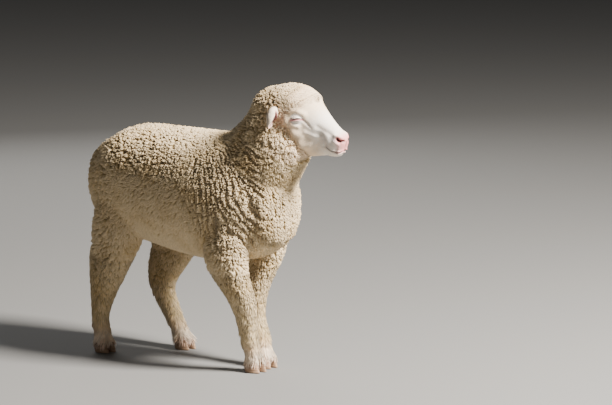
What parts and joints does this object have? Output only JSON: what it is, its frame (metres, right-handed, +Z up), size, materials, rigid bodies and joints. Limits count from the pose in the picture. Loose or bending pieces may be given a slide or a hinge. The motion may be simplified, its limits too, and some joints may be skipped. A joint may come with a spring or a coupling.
{
  "type": "sheep",
  "caption": "Still, life-size young fleeced sheep standing on four feet, head raised and turned a little to its left, fleece in rounded clumps, bare face and lower legs.",
  "frame": {"origin": "middle of the ground under the animal's box, level with the soles of its claws", "axes": "+X towards the head, +Y to the animal's left, +Z up"},
  "size_m": [0.844, 0.3236, 0.7562],
  "materials": {
    "fleece": "dense crimped cream wool, dusty tan at the tips and in the creases",
    "face": "short white hair over pink skin, woolly behind the eyes",
    "ear": "woolly back, pale rim and pink inside",
    "leg": "short shaggy tan wool, whitish hair at the feet",
    "eye": "wet and dark under drooping lids",
    "horn": "light brown horn, worn pale at the edge"
  },
  "bodies": {
    "root": {"torso": "fleece", "neck": "fleece", "head": "face", "tail": "fleece", "ear_left": "ear", "ear_right": "ear", "eye_left": "eye", "eye_right": "eye", "leg_front_left": "leg", "leg_front_right": "leg", "leg_hind_left": "leg", "leg_hind_right": "leg", "claw_front_left_inner": "horn", "claw_front_left_outer": "horn", "claw_front_right_inner": "horn", "claw_front_right_outer": "horn", "claw_hind_left_inner": "horn", "claw_hind_left_outer": "horn", "claw_hind_right_inner": "horn", "claw_hind_right_outer": "horn"}
  },
  "joints": []
}
